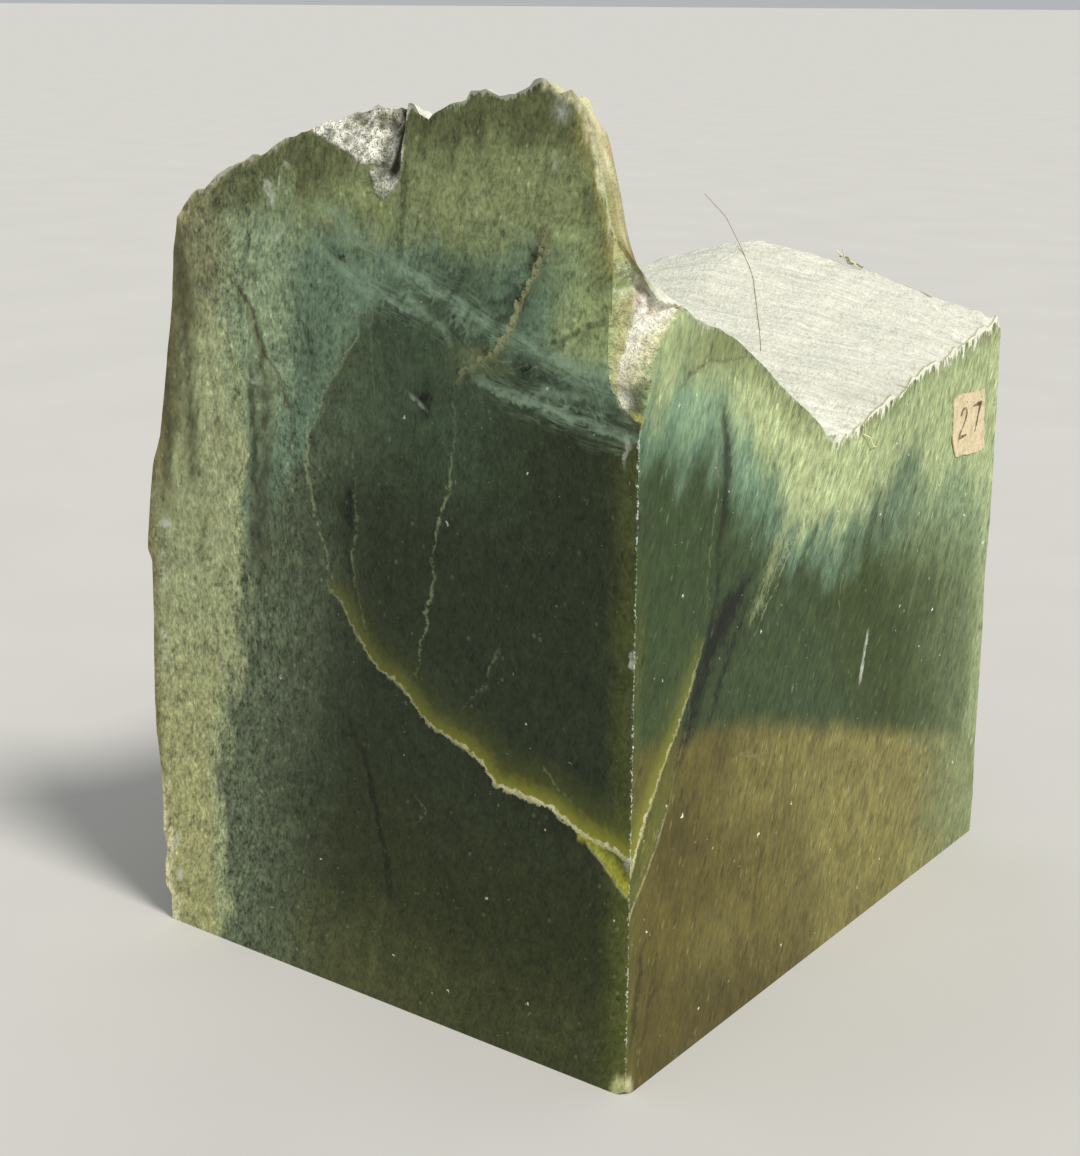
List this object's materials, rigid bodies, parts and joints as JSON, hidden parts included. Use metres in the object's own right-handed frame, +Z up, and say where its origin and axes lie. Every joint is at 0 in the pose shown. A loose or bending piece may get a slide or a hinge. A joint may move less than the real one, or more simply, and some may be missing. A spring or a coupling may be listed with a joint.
{
  "type": "raw jade block",
  "caption": "Raw jade block sawn flat on the front, right and base, with natural skin behind and a broken stepped top.",
  "frame": {"origin": "on the resting plane, under the middle of the stone and its label", "axes": "+Z up to the peak, -Y out of the front sawn face, +X out of the right sawn face that carries the label"},
  "size_m": [0.0856, 0.105, 0.126],
  "materials": {
    "jade": "fine sawn faces, rough natural skin",
    "label_paper": "matt, wrinkled"
  },
  "bodies": {
    "root": {"jade_block": "jade", "paper_label": "label_paper"}
  },
  "joints": []
}
